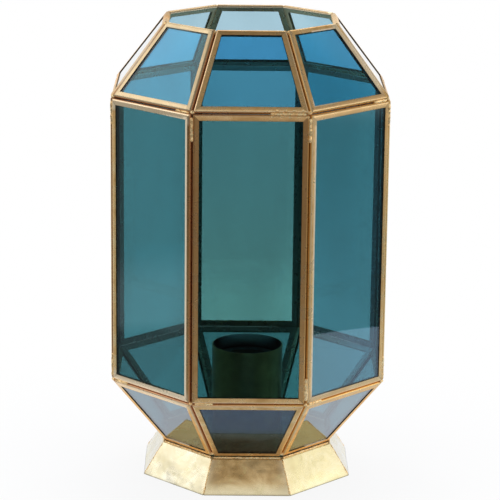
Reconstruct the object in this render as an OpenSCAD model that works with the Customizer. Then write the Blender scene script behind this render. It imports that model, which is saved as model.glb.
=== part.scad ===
// Octagonal lantern table lamp: three tiers of tinted glass panes, each pane edged by its own
// folded brass channel, standing on a flared brass skirt with an E27 lamp holder inside.
// Millimetres, +Z up. The origin is the middle of the foot, on the table. Pane 1 faces -Y.

/* [Lantern] */
// Side of the octagon at the body, measured on the outside
body_side = 66; // [56:0.5:80]
// Side of the octagon at the open top rim
rim_side = 40.5; // [34:0.5:52]
// Height of the upright body panes
body_h = 168; // [120:1:220]
// Height that the roof panes rise
roof_h = 41.5; // [32:0.5:56]
// Height of the tapered tier under the body
taper_h = 41.5; // [32:0.5:56]

/* [Foot] */
// Side of the octagon of the floor plate, where the skirt begins
floor_side = 40.5; // [36:0.5:50]
// Side of the octagon at the skirt's lower edge
foot_side = 50.5; // [44:0.5:60]
// Height of the flared skirt, floor plate included
foot_h = 19.5; // [18:0.5:32]
// Thickness of the brass sheet of the skirt
skirt_t = 0.8; // [0.6:0.1:1.4]
// Thickness of the floor plate
floor_t = 1; // [0.8:0.1:2]
// Width of the solder over each seam of the skirt, beside its groove
seam_w = 1.2; // [0.8:0.1:2]
// Height that this solder stands above the seam
seam_h = 0.5; // [0.3:0.05:0.8]

/* [Glass and brass channel] */
// Thickness of the glass
glass_t = 2; // [1.6:0.1:3]
// Width of the channel's flange, seen from outside
channel_w = 3.4; // [2.4:0.1:5]
// Wall thickness of the folded channel
channel_wall = 0.45; // [0.3:0.05:0.7]
// Outside radius of the channel's two bends
bend_r = 0.6; // [0.4:0.05:0.8]
// Length of each solder bead at the ends of an upright groove
solder_len = 14; // [8:1:20]
// Length of each bead at the ends of a slanting groove
corner_len = 3.5; // [2:0.5:6]

/* [Lamp holder] */
// Outside diameter of the dark sleeve round the holder
sleeve_d = 42; // [41:0.5:48]
// Height of the sleeve above the floor plate
sleeve_h = 54.5; // [50:0.5:64]
// Wall thickness of the sleeve
sleeve_t = 0.8; // [0.6:0.1:1.2]
// Height of the insulating body of the holder
holder_h = 46; // [44:0.5:48]
// Depth of the threaded seat under the holder that the nipple screws into
seat_h = 9; // [7:0.5:12]
// Height of the well's floor above the holder's underside
well_up = 21; // [19:0.5:21]
// Inside diameter of the lamp cap's screw shell (E27)
cap_d = 26.6; // [26.5:0.05:26.8]
// Height of the shell's cylindrical wall
cap_h = 18; // [16:0.5:19]
// Wall thickness of the shell
shell_t = 0.4; // [0.3:0.05:0.5]
// Height of the shell's narrower foot
shell_foot_h = 3.6; // [3.2:0.1:4]
// Diameter of the hole in the shell's floor, round the centre contact
shell_hole_d = 15; // [14.6:0.1:16]
// Width of the centre contact's strip
strip_w = 5.4; // [4.6:0.1:5.6]
// Thickness of the strip
strip_t = 0.5; // [0.4:0.05:0.6]
// Height that the strip's free end stands above its root
strip_rise = 2; // [1.6:0.1:2.2]

/* [Fixings] */
// Outside diameter of the hollow nipple (M10 x 1)
nipple_d = 9.9; // [9.8:0.05:10]
// Bore of the nipple, for the wires
nipple_bore = 6.6; // [6:0.1:7.4]
// Width across the flats of the lock nut
nut_flats = 14; // [13:0.5:17]
// Thickness of the lock nut
nut_t = 3; // [2.5:0.5:4]
// Outside diameter of the washer under the floor
washer_d = 18; // [16:0.5:22]
// Thickness of the washer
washer_t = 1; // [0.8:0.1:1.6]
// Shank diameter of the terminal screws
screw_d = 3; // [2.5:0.1:3.2]
// Head diameter of the terminal screws
screw_head_d = 5; // [4.4:0.1:5.4]
// Bore of the grommet that the mains lead passes through
lead_bore = 6.6; // [5.5:0.1:7]
// Diameter of the grommet's neck, in the skirt's hole
grommet_neck_d = 9.8; // [9.2:0.1:10.4]
// Diameter of the grommet's two rims
grommet_rim_d = 13.2; // [12.4:0.1:14]

/* [Hidden] */
$fn = 48;
sides = 8;
turn = 360 / sides;
// Clearance between neighbouring brass edges, and of the glass's faces in its channel
joint_gap = 0.05;
// Clearance of the glass's edge in its channel
edge_gap = 0.2;
// Clearance of a threaded or drilled seat round its screw, tube or sleeve
bore_gap = 0.1;
// A cut reaches this far past the solid that it goes through
past = 1;

apothem_per_side = 1 / (2 * tan(turn / 2));
radius_per_side = 1 / (2 * sin(turn / 2));
channel_t = glass_t + 2 * joint_gap + 2 * channel_wall;

// Heights of the ring lines, from the table up
floor_z = foot_h;
body_z = floor_z + taper_h;
eaves_z = body_z + body_h;

// Heights of the holder's underside, on the sleeve's floor, and of its well's floor
holder_z = floor_z + sleeve_t;
well_z = holder_z + well_up;
// The shell's foot is this much narrower than its wall
shell_step = 1.6;
shell_foot_d = cap_d - shell_step;
shell_screw = (shell_hole_d + shell_foot_d) / 4;

// The centre contact's strip, along x from its root through its screw to its bend
strip_root = -6.6;
strip_screw = -4.6;
strip_bend = -1.6;
strip_slope = 33.7;
// Room over and under the strip's root, in which it turns as the strip is pressed down
strip_play = 0.4;

// How deep the terminal screws bite into the holder
screw_bite = 6;
// Terminal screws: [x, y, height of the head's seat above the well's floor]
SCREWS = [[0, -shell_screw, shell_t], [0, shell_screw, shell_t],
          [strip_screw, 0, strip_t + 2 * strip_play]];

// A tier of panes: [lower side, upper side, lower height, rise]
TAPER = [floor_side, body_side, floor_z, taper_h];
BODY = [body_side, body_side, body_z, body_h];
ROOF = [body_side, rim_side, eaves_z, roof_h];
SKIRT = [foot_side, floor_side, 0, foot_h];

// The mains lead leaves by the middle of the back skirt panel
lead_face = sides / 2;
lead_up = norm([(foot_side - floor_side) * apothem_per_side, foot_h]) / 2;
// How far the grommet stands out of the sheet, outside and inside
grommet_out = 1.6;
grommet_in = 1.3;

// The groove on the left of pane 1 is left open at its foot
open_foot = sides - 1;

function run(tier) = (tier[0] - tier[1]) * apothem_per_side;
function slant(tier) = norm([run(tier), tier[3]]);
function tilt(tier) = atan2(run(tier), tier[3]);
function edge_run(tier) = (tier[0] - tier[1]) * radius_per_side;
function edge_slant(tier) = norm([edge_run(tier), tier[3]]);
// Angle between the outward normals of two neighbouring panes of one tier
function side_turn(tier) = acos(pow(cos(tilt(tier)), 2) * cos(turn) + pow(sin(tilt(tier)), 2));
// How far an edge of thickness t is set back, so that two square edges meet at their inner corners
function set_back(fold, t) = t * tan(fold / 2) + joint_gap;

function eaves_turn() = abs(tilt(ROOF) - tilt(BODY));
function shoulder_turn() = abs(tilt(BODY) - tilt(TAPER));

// Set-backs of a tier's channels: [lower edge, slanting edges, upper edge]
function set_backs(tier) =
    [tier == ROOF ? set_back(eaves_turn(), channel_t)
        : tier == BODY ? set_back(shoulder_turn(), channel_t) : joint_gap,
     set_back(side_turn(tier), channel_t),
     tier == ROOF ? 0
        : tier == BODY ? set_back(eaves_turn(), channel_t)
        : set_back(shoulder_turn(), channel_t)];

// Outline of a pane's face, drawn in by each edge's set-back and by more
function outline(tier, back, more) =
    let (long = slant(tier),
         lean = (tier[0] - tier[1]) / 2 / long,
         inward = (back[1] + more) * norm([1, lean]),
         low = back[0] + more,
         high = long - back[2] - more,
         half_low = tier[0] / 2 - lean * low - inward,
         half_high = tier[0] / 2 - lean * high - inward)
    [[-half_low, low], [half_low, low], [half_high, high], [-half_high, high]];

// Half-plane of the folded channel's two bends: x is inward from the edge, y is through the thickness
function bend(y, from) =
    [for (angle = [from:-30:from - 90]) [bend_r + bend_r * cos(angle), y + bend_r * sin(angle)]];
function folded_edge(reach) =
    concat([[reach, 0]], bend(bend_r, 270), bend(channel_t - bend_r, 180), [[reach, channel_t]]);

// Puts a piece on face k of a tier: x along the face, y up its slope, z outward from its outer surface
module on_face(tier, k) {
    rotate([0, 0, turn * k])
        translate([0, -tier[0] * apothem_per_side, tier[2]])
            rotate([90 - tilt(tier), 0, 0])
                children();
}

// Puts a piece on the edge between faces k and k + 1 of a tier: y up the edge, z outward
module on_edge(tier, k) {
    rotate([0, 0, turn * (k + 0.5)])
        translate([0, -tier[0] * radius_per_side, tier[2]])
            rotate([90 - atan2(edge_run(tier), tier[3]), 0, 0])
                children();
}

// A slab whose one side, from point a to point b of an outline, has the channel's two bends
module folded_slab(a, b, reach) {
    translate([a[0], a[1], -channel_t])
        rotate([0, 0, atan2(b[1] - a[1], b[0] - a[0])])
            translate([-reach, 0, 0])
                rotate([90, 0, 90])
                    linear_extrude(norm(b - a) + 2 * reach)
                        polygon(folded_edge(reach));
}

// The channel folded round one pane, mitred at its corners and open to the pane on the inside
module pane_frame(tier, k) {
    back = set_backs(tier);
    edge = outline(tier, back, 0);
    reach = tier[0] + tier[1] + tier[3];
    slot_t = channel_t - 2 * channel_wall;
    color("goldenrod")
        on_face(tier, k)
            difference() {
                intersection_for(i = [0:3])
                    folded_slab(edge[i], edge[(i + 1) % 4], reach);
                translate([0, 0, -channel_wall - slot_t])
                    linear_extrude(slot_t)
                        polygon(outline(tier, back, channel_wall));
                translate([0, 0, -channel_t - past])
                    linear_extrude(channel_t + 2 * past)
                        polygon(outline(tier, back, channel_w));
            }
}

// One sheet of glass, its edge held inside the channel
module pane(tier, k, tint) {
    color(tint, 0.5)
        on_face(tier, k)
            translate([0, 0, -channel_wall - joint_gap - glass_t])
                linear_extrude(glass_t)
                    polygon(outline(tier, set_backs(tier), channel_wall + edge_gap));
}

// Cross-section of a solder bead in the groove between two channels: y is outward
function bead(fold) =
    let (foot = -channel_t / cos(fold / 2),
         low = 0.15 * channel_t,
         high = 0.72 * channel_t,
         crown = 0.1 * channel_t,
         slope = tan(fold / 2))
    [[-low * slope, foot + low], [low * slope, foot + low],
     [high * slope, foot + high], [high / 2 * slope, foot + high + crown],
     [-high / 2 * slope, foot + high + crown], [-high * slope, foot + high]];

// Cross-section of the solder that bridges the seam between two sheets of the skirt
function seam_half(fold, side) =
    let (mouth = [skirt_t * sin(fold / 2), joint_gap - skirt_t * tan(fold / 2) * sin(fold / 2)],
         toe = mouth + seam_w / 2 * [cos(fold / 2), -sin(fold / 2)],
         rise = seam_h / 2 * [sin(fold / 2), cos(fold / 2)])
    [for (p = [mouth, toe, toe + rise, [mouth[0], seam_h]]) [side * p[0], p[1]]];
function seam(fold) =
    let (left = seam_half(fold, -1))
    concat([[0, -skirt_t / 2]], seam_half(fold, 1), [for (i = [3:-1:0]) left[i]]);

// A bead of the given cross-section up a tier's edge, from height y0 along the edge
module edge_bead(tier, k, y0, long, section) {
    on_edge(tier, k)
        translate([0, y0 + long, 0])
            rotate([90, 0, 0])
                linear_extrude(long)
                    polygon(section);
}

// A bead along the level groove between two tiers, centred x0 along the face
module level_bead(lower, upper, k, x0, long) {
    rotate([0, 0, turn * k])
        translate([x0, -upper[0] * apothem_per_side, upper[2]])
            rotate([90 - (tilt(lower) + tilt(upper)) / 2, 0, 0])
                translate([-long / 2, 0, 0])
                    rotate([90, 0, 90])
                        linear_extrude(long)
                            polygon(bead(abs(tilt(lower) - tilt(upper))));
}

// The inside fillet that holds a taper pane's channel down on the floor plate
module floor_bead(k, long) {
    rise = -tilt(TAPER);
    toe = 0.5;
    reach = channel_t * cos(rise);
    rotate([0, 0, turn * k])
        translate([-long / 2, -floor_side * apothem_per_side, floor_z])
            rotate([90, 0, 90])
                linear_extrude(long)
                    polygon([[toe + reach / 3, joint_gap], [reach + toe, joint_gap],
                             [reach, (reach - toe) * tan(rise)]]);
}

module solder_beads() {
    level_len = solder_len * 0.8;
    clear = channel_w * 0.7;
    level_x = body_side / 2 - clear - level_len / 2;
    seam_end = 2 * seam_h;
    color("darkgoldenrod")
        for (k = [0:sides - 1]) {
            if (k != open_foot) edge_bead(BODY, k, clear, solder_len, bead(side_turn(BODY)));
            edge_bead(BODY, k, body_h - clear - solder_len, solder_len, bead(side_turn(BODY)));
            for (tier = [ROOF, TAPER]) {
                edge_bead(tier, k, clear, corner_len, bead(side_turn(tier)));
                edge_bead(tier, k, edge_slant(tier) - clear - corner_len, corner_len,
                          bead(side_turn(tier)));
            }
            edge_bead(SKIRT, k, seam_end, edge_slant(SKIRT) - 2 * seam_end - floor_t,
                      seam(side_turn(SKIRT)));
            level_bead(BODY, ROOF, k, level_x, level_len);
            level_bead(TAPER, BODY, k, -level_x, level_len);
            floor_bead(k, floor_side / 2);
        }
}

// The octagonal plate that closes the lantern's bottom and carries the holder
module floor_plate() {
    color("goldenrod")
        translate([0, 0, floor_z - floor_t])
            difference() {
                rotate([0, 0, turn / 2])
                    linear_extrude(floor_t)
                        polygon([for (k = [0:sides - 1])
                            floor_side * radius_per_side * [cos(turn * k), sin(turn * k)]]);
                translate([0, 0, -past])
                    cylinder(d = nipple_d + 2 * bore_gap, h = floor_t + 2 * past);
            }
}

// The flared foot: eight sheet panels, cut level at the table and under the floor plate
module base_skirt() {
    back = [0, set_back(side_turn(SKIRT), skirt_t), 0];
    wide = 2 * foot_side * radius_per_side;
    color("gold")
        for (k = [0:sides - 1])
            intersection() {
                on_face(SKIRT, k)
                    difference() {
                        translate([0, 0, -skirt_t])
                            linear_extrude(skirt_t)
                                polygon(outline(SKIRT, back - [past, 0, past], 0));
                        if (k == lead_face)
                            translate([0, lead_up, -skirt_t - past])
                                cylinder(d = grommet_neck_d + 2 * bore_gap, h = skirt_t + 2 * past);
                    }
                translate([-wide / 2, -wide / 2, 0])
                    cube([wide, wide, foot_h - floor_t]);
            }
}

// The rubber bush in the skirt's hole, with a rim on each side of the sheet
module cable_grommet() {
    rim = 0.5;
    color("black")
        on_face(SKIRT, lead_face)
            translate([0, lead_up, 0])
                rotate_extrude()
                    polygon([
                        [lead_bore / 2, -skirt_t - joint_gap - grommet_in],
                        [grommet_rim_d / 2 - rim, -skirt_t - joint_gap - grommet_in],
                        [grommet_rim_d / 2, -skirt_t - joint_gap - grommet_in + rim],
                        [grommet_rim_d / 2, -skirt_t - joint_gap],
                        [grommet_neck_d / 2, -skirt_t - joint_gap],
                        [grommet_neck_d / 2, joint_gap],
                        [grommet_rim_d / 2, joint_gap],
                        [grommet_rim_d / 2, joint_gap + grommet_out - rim],
                        [grommet_rim_d / 2 - rim, joint_gap + grommet_out],
                        [lead_bore / 2, joint_gap + grommet_out]]);
}

// The dark metal cup round the holder, clamped under it by the nipple
module holder_sleeve() {
    lip = sleeve_t / 3;
    color("dimgray")
        translate([0, 0, floor_z])
            rotate_extrude($fn = 96)
                polygon([
                    [nipple_d / 2 + bore_gap, 0], [sleeve_d / 2 - lip, 0], [sleeve_d / 2, lip],
                    [sleeve_d / 2, sleeve_h - lip], [sleeve_d / 2 - lip, sleeve_h],
                    [sleeve_d / 2 - sleeve_t, sleeve_h], [sleeve_d / 2 - sleeve_t, sleeve_t],
                    [nipple_d / 2 + bore_gap, sleeve_t]]);
}

// The insulating body: a threaded seat below, a way for the wires and the well for the screw shell
module lamp_holder() {
    body_r = sleeve_d / 2 - sleeve_t - 3 * bore_gap;
    well_r = cap_d / 2 + shell_t + bore_gap;
    seat_r = nipple_d / 2 + bore_gap;
    seat_ledge = 2.6;
    wire_r = seat_r - seat_ledge;
    lip = 1;
    hole_h = screw_bite + 1;
    top = holder_z + holder_h;
    color("black")
        difference() {
            rotate_extrude($fn = 96)
                polygon([
                    [seat_r, holder_z], [body_r - lip, holder_z], [body_r, holder_z + lip],
                    [body_r, top - lip], [body_r - lip, top], [well_r, top], [well_r, well_z],
                    [wire_r, well_z], [wire_r, holder_z + seat_h], [seat_r, holder_z + seat_h]]);
            for (screw = SCREWS)
                translate([screw[0], screw[1], well_z - hole_h])
                    cylinder(d = screw_d + 2 * bore_gap, h = hole_h + past, $fn = 32);
        }
}

// The brass shell that the lamp cap screws into, its floor screwed down in the well
module screw_shell() {
    color("goldenrod")
        difference() {
            translate([0, 0, well_z])
                rotate_extrude($fn = 96)
                    polygon([
                        [shell_hole_d / 2, 0], [shell_foot_d / 2 + shell_t, 0],
                        [shell_foot_d / 2 + shell_t, shell_foot_h - shell_t],
                        [cap_d / 2 + shell_t, shell_foot_h - shell_t],
                        [cap_d / 2 + shell_t, shell_foot_h + cap_h],
                        [cap_d / 2, shell_foot_h + cap_h], [cap_d / 2, shell_foot_h],
                        [shell_foot_d / 2, shell_foot_h], [shell_foot_d / 2, shell_t],
                        [shell_hole_d / 2, shell_t]]);
            for (side = [-1, 1])
                translate([0, side * shell_screw, well_z - past])
                    cylinder(d = screw_d + 2 * bore_gap, h = shell_t + 2 * past, $fn = 32);
        }
}

// A pan-head screw, standing on its seat at z = 0
module pan_screw(long) {
    head_h = 1.4;
    bevel = 0.5;
    rotate_extrude($fn = 32)
        polygon([
            [0, -long], [screw_d / 2 - bevel / 2, -long], [screw_d / 2, -long + bevel],
            [screw_d / 2, 0], [screw_head_d / 2, 0], [screw_head_d / 2, head_h - bevel],
            [screw_head_d / 2 - bevel, head_h], [0, head_h]]);
}

module terminal_screws() {
    color("silver")
        for (screw = SCREWS)
            translate([screw[0], screw[1], well_z + screw[2]])
                pan_screw(screw[2] + screw_bite);
}

// The springy strip that touches the lamp's tip. Pressed down, it turns about its screw.
module centre_contact() {
    arm = strip_rise / tan(strip_slope);
    tip = strip_bend + arm;
    drop = 0.5;
    crown = 2;
    color("darkgoldenrod")
        translate([0, 0, well_z + strip_play])
            difference() {
                rotate([90, 0, 0])
                    linear_extrude(strip_w, center = true)
                        polygon([
                            [strip_root, 0], [strip_bend, 0], [tip, strip_rise],
                            [tip + crown, strip_rise], [tip + crown + 1.2, strip_rise - drop],
                            [tip + crown + 1.5, strip_rise + strip_t - drop],
                            [tip + crown + 0.1, strip_rise + strip_t],
                            [tip - 0.15, strip_rise + strip_t],
                            [strip_bend - 0.15, strip_t], [strip_root, strip_t]]);
                translate([strip_screw, 0, -past])
                    cylinder(d = screw_d + 4 * bore_gap, h = strip_t + 2 * past, $fn = 32);
            }
}

// The hollow stud that ties the floor plate, the sleeve and the holder together
module mounting_nipple() {
    below = 2;
    low = floor_z - floor_t - washer_t - nut_t - below;
    high = holder_z + seat_h - 0.5;
    lead_in = 0.5;
    color("silver")
        translate([0, 0, low])
            rotate_extrude()
                polygon([
                    [nipple_bore / 2, 0], [nipple_d / 2 - lead_in, 0], [nipple_d / 2, lead_in],
                    [nipple_d / 2, high - low - lead_in], [nipple_d / 2 - lead_in, high - low],
                    [nipple_bore / 2, high - low]]);
}

module lock_washer() {
    color("silver")
        translate([0, 0, floor_z - floor_t - washer_t])
            difference() {
                cylinder(d = washer_d, h = washer_t);
                translate([0, 0, -past])
                    cylinder(d = nipple_d + 4 * bore_gap, h = washer_t + 2 * past);
            }
}

module lock_nut() {
    color("silver")
        translate([0, 0, floor_z - floor_t - washer_t - nut_t])
            difference() {
                cylinder(d = nut_flats / cos(30), h = nut_t, $fn = 6);
                translate([0, 0, -past])
                    cylinder(d = nipple_d + 2 * bore_gap, h = nut_t + 2 * past);
            }
}

function tier_names(name) = [for (k = [1:sides]) str(name, k)];

for (k = [0:sides - 1]) {
    pane_frame(ROOF, k);
    pane(ROOF, k, "steelblue");
    pane_frame(BODY, k);
    pane(BODY, k, "teal");
    pane_frame(TAPER, k);
    pane(TAPER, k, "slategray");
}
solder_beads();
floor_plate();
base_skirt();
cable_grommet();
holder_sleeve();
lamp_holder();
screw_shell();
centre_contact();
terminal_screws();
mounting_nipple();
lock_washer();
lock_nut();
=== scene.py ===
import math

import bmesh
import bpy
from mathutils import Matrix, Vector


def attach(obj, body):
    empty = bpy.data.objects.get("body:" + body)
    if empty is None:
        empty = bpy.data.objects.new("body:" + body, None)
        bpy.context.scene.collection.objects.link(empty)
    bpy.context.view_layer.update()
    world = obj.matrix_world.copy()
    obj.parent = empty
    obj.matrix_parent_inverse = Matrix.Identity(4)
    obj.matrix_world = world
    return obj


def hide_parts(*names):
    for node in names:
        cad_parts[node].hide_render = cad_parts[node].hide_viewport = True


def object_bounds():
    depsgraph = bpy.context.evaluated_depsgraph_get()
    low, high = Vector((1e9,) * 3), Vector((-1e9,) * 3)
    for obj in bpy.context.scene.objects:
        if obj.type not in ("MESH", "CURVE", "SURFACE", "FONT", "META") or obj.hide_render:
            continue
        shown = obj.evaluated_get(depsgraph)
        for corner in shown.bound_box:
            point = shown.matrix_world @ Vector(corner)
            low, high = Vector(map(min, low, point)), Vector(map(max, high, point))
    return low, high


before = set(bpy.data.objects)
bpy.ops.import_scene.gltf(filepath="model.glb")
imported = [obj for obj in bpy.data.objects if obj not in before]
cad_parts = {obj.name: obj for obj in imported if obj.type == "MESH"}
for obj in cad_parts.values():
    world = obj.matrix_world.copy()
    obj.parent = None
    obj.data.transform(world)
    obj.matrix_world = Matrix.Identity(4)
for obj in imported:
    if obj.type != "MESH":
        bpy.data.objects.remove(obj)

cad_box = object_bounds()

# ------------------------------------------------------------------------------------ Camera
# The lamp is seen through a long lens from 1.3 m in front of it, a little from above, so that the
# far side of the roof shows over its rim.
camera_spot = (-0.0120, -1.3199, 0.4727)
pan, look_down, roll = -0.561, 14.497, 0.633
camera_lens = bpy.data.cameras.new("camera")
camera_lens.sensor_width = 36
camera_lens.lens = 166.08
camera = bpy.data.objects.new("camera", camera_lens)
camera.matrix_world = (
    Matrix.Translation(camera_spot)
    @ Matrix.Rotation(math.radians(pan), 4, "Z")
    @ Matrix.Rotation(math.radians(90 - look_down), 4, "X")
    @ Matrix.Rotation(math.radians(roll), 4, "Z")
)
bpy.context.scene.collection.objects.link(camera)
bpy.context.scene.camera = camera
bpy.context.scene.view_settings.view_transform = "Standard"


# ------------------------------------------------------------------------ Table and background
# A round table top of matte white laminate, and the studio round it: white paper behind the lamp and a
# dimmer room in front of it, whose boards, walls and floor show in the lamp's brass and glass.
def out_of(source):
    """A node's first output or a flow's socket, and any other value as it is."""
    if isinstance(source, bpy.types.Node):
        return source.outputs[0]
    return getattr(source, "socket", source)


def wire(tree, kind, fed=(), **settings):
    """A new node with these settings, its inputs fed with values or with other nodes' outputs."""
    made = tree.nodes.new(kind)
    for name, value in settings.items():
        setattr(made, name, value)
    for socket, source in dict(fed).items():
        source = out_of(source)
        if isinstance(source, bpy.types.NodeSocket):
            tree.links.new(source, made.inputs[socket])
        else:
            made.inputs[socket].default_value = source
    return made


class Flow:
    """A number that runs through a node tree, and that sums can be done with."""

    def __init__(self, tree, source):
        self.tree, self.socket = tree, out_of(source)

    def math(self, operation, *others):
        fed = dict(enumerate((self, *others)))
        return Flow(self.tree, wire(self.tree, "ShaderNodeMath", fed, operation=operation))

    def __add__(self, other):
        return self.math("ADD", other)

    def __sub__(self, other):
        return self.math("SUBTRACT", other)

    def __rsub__(self, other):
        return self * -1 + other

    def __mul__(self, other):
        return self.math("MULTIPLY", other)

    def __truediv__(self, other):
        return self.math("DIVIDE", other)

    def __pow__(self, power):
        return self.math("POWER", power)

    def __abs__(self):
        return self.math("ABSOLUTE")

    def ranged(self, low, high, at_low, at_high):
        """at_low where the number is low or less, at_high where it is high or more."""
        return Flow(self.tree, wire(self.tree, "ShaderNodeMapRange", {
            "Value": self, "From Min": low, "From Max": high,
            "To Min": at_low, "To Max": at_high}))


def new_material(name):
    """An empty material and its tree."""
    material = bpy.data.materials.new(name)
    material.use_nodes = True
    material.node_tree.nodes.clear()
    return material, material.node_tree


def surfaced(material, finish, kind="ShaderNodeBsdfPrincipled"):
    """The material, with a shader of this finish and kind as its surface."""
    shader = wire(material.node_tree, kind, finish)
    wire(material.node_tree, "ShaderNodeOutputMaterial", {"Surface": shader})
    return material


def add_piece(name, mesh):
    piece = bpy.data.objects.new(name, mesh)
    bpy.context.scene.collection.objects.link(piece)
    return piece


def parts_of(tree, vector):
    """The three numbers of a vector."""
    return [Flow(tree, part) for part in wire(tree, "ShaderNodeSeparateXYZ", {0: vector}).outputs]


def length_of(tree, vector):
    return Flow(tree, wire(tree, "ShaderNodeVectorMath", {0: vector}, operation="LENGTH").outputs["Value"])


def place_in(tree, kind="Object"):
    """A point's place, as three numbers: how far to the right, to the rear and up."""
    return parts_of(tree, wire(tree, "ShaderNodeTexCoord").outputs[kind])


def ramp(tree, source, *stops):
    """A colour ramp through stops of (place, red, green, blue)."""
    made = wire(tree, "ShaderNodeValToRGB", {"Fac": source})
    elements = made.color_ramp.elements
    while len(elements) < len(stops):
        elements.new(0.5)
    for element, (place, *colour) in zip(elements, stops):
        element.position, element.color = place, (*colour, 1)
    return made.outputs["Color"]


def blend(tree, share, *colours):
    """A colour between two colours, each a node's or (red, green, blue)."""
    first, second = ((*colour, 1) if isinstance(colour, tuple) else colour for colour in colours)
    return wire(tree, "ShaderNodeMix", {0: share, 6: first, 7: second}, data_type="RGBA").outputs[2]


def seen_by(tree):
    """Whether a ray comes straight from the camera, if need be through glass, and whether it comes off
    a shiny face."""
    rays = wire(tree, "ShaderNodeLightPath")
    bounced = Flow(tree, rays.outputs["Glossy Depth"]).math("GREATER_THAN", 0.5)
    scattered = bounced.math("MAXIMUM", Flow(tree, rays.outputs["Diffuse Depth"]).math("GREATER_THAN", 0.5))
    straight = Flow(tree, rays.outputs["Is Camera Ray"]).math(
        "MAXIMUM", Flow(tree, rays.outputs["Is Transmission Ray"]) * (1 - scattered))
    return straight, bounced


def table_laminate():
    """White laminate that holds the lamp's shadow and turns paper white away from it. In shiny faces it shows
    painted reflection tints: bluish in front and to the right, paler near by, and golden beside the foot in a
    second mirror."""
    material, tree = new_material("white_laminate")
    place = wire(tree, "ShaderNodeTexCoord").outputs["Object"]
    rightward, rearward, _ = place_in(tree)
    from_lamp = length_of(tree, place)
    grain = wire(tree, "ShaderNodeTexNoise", {"Vector": place, "Scale": 300.0, "Detail": 3.0})
    laminate = ramp(tree, grain.outputs["Fac"], (0.0, 0.87, 0.89, 0.95), (1.0, 0.90, 0.92, 0.98))
    lit = wire(tree, "ShaderNodeBsdfDiffuse", {"Color": laminate})
    straight, bounced = seen_by(tree)
    twice = Flow(tree, wire(tree, "ShaderNodeLightPath").outputs["Glossy Depth"]).math("GREATER_THAN", 1.5)
    paper_share = straight * from_lamp.ranged(0.10, 0.24, 0.88, 1.0)
    mirror_share = rearward.ranged(-0.10, -0.03, 0.12, 1.0) * bounced
    beyond_foot = from_lamp.ranged(0.055, 0.060, 0.0, 1.0)
    near_by = rearward.ranged(-0.06, -0.04, 0.0, 1.0) * rightward.ranged(0.12, 0.25, 1.0, 0.0)
    # Painted reflection tints, which only shiny faces show
    glow = blend(tree, near_by, (0.60, 0.78, 1.0), (0.88, 0.91, 1.0))
    beside = twice * abs(rightward).ranged(0.028, 0.038, 0.0, 1.0)
    painted_golden_reflection = blend(tree, beside, glow, (1.0, 0.78, 0.42))
    paper_white = blend(tree, bounced, (1, 1, 1), painted_golden_reflection)
    white = wire(tree, "ShaderNodeEmission", {"Color": paper_white, "Strength": 1.0})
    share = paper_share.math("MAXIMUM", mirror_share) * beyond_foot
    return surfaced(material, {0: share, 1: lit, 2: white}, "ShaderNodeMixShader")


table_radius, table_middle = 0.34, (0.08, 0.10, 0.0)
table_mesh = bpy.data.meshes.new("table_top")
table_shape = bmesh.new()
bmesh.ops.create_circle(table_shape, cap_ends=True, radius=table_radius, segments=128,
                        matrix=Matrix.Translation(table_middle))
table_shape.to_mesh(table_mesh)
table_shape.free()
table_mesh.materials.append(table_laminate())
table_top = add_piece("table_top", table_mesh)

studio = bpy.data.worlds.new("studio")
bpy.context.scene.world = studio
studio.use_nodes = True
sky = studio.node_tree
sky.nodes.clear()
rightward, rearward, upward = place_in(sky, "Generated")


def band(number, rise_from, rise_to, fall_from, fall_to):
    """1 between rise_to and fall_from, and 0 outside rise_from and fall_to."""
    return number.ranged(rise_from, rise_to, 0.0, 1.0) * number.ranged(fall_from, fall_to, 1.0, 0.0)


# What lights the lamp, and the brighter patches that its brass and glass mirror in each direction
room = rearward.ranged(-0.15, 0.55, 0.55, 1.0)
paper = ((rearward - rightward.math("MAXIMUM", 0.0) * 0.17).ranged(-0.15, 0.55, 0.0, 1.0)
         * upward.ranged(0.12, 0.22, 1.0, 0.45) * upward.ranged(-0.295, -0.285, 0.8, 1.0))
ceiling = (upward.ranged(0.10, 0.45, 0.02, 0.45).math("MINIMUM", upward.ranged(0.74, 0.84, 0.45, 0.08))
           * rightward.ranged(-0.6, 0.6, 1.4, 0.3))
board_above = band(upward, 0.42, 0.55, 0.70, 0.78) * rearward.ranged(-0.5, -0.3, 0.9, 0.0)
front_wall = rearward.ranged(-0.9, -0.6, 0.75, 0.0) * band(upward, -0.19, -0.14, 0.15, 0.25)
front_floor = rearward.ranged(-0.9, -0.6, 0.55, 0.0) * band(upward, -0.42, -0.36, -0.328, -0.314)
right_board = rightward.ranged(0.5, 0.75, 0.0, 1.0) * band(upward, -0.20, -0.17, 0.20, 0.35)
right_floor = rightward.ranged(0.5, 0.75, 0.0, 0.14)
left_board = rightward.ranged(-0.9, -0.7, 0.62, 0.0) * band(upward, -0.289, -0.280, -0.266, -0.240)
mirrored = paper
for patch in (ceiling, board_above, front_wall, front_floor, right_board, right_floor, left_board):
    mirrored = mirrored.math("MAXIMUM", patch)
straight, bounced = seen_by(sky)
level = (room + (mirrored - room) * bounced).math("MAXIMUM", straight)
blue_floor = (abs(rightward).ranged(0.5, 0.7, 0.0, 1.0) * upward.ranged(-0.20, -0.18, 1.0, 0.0)
              * rightward.ranged(-0.6, 0.6, 0.55, 1.0))
light = blend(sky, blue_floor * bounced, (1, 1, 1), (0.45, 0.82, 1.0))
background = wire(sky, "ShaderNodeBackground", {"Color": light, "Strength": level})
wire(sky, "ShaderNodeOutputWorld", {"Surface": background})


# ------------------------------------------------------------------------------------- Lamps
# Two soft boxes, one to each side of the lamp and a little above it, and a third high up behind it.
# The camera doesn't see them, but the brass mirrors them.
lantern_middle = Vector((0, 0, 0.13))


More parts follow.
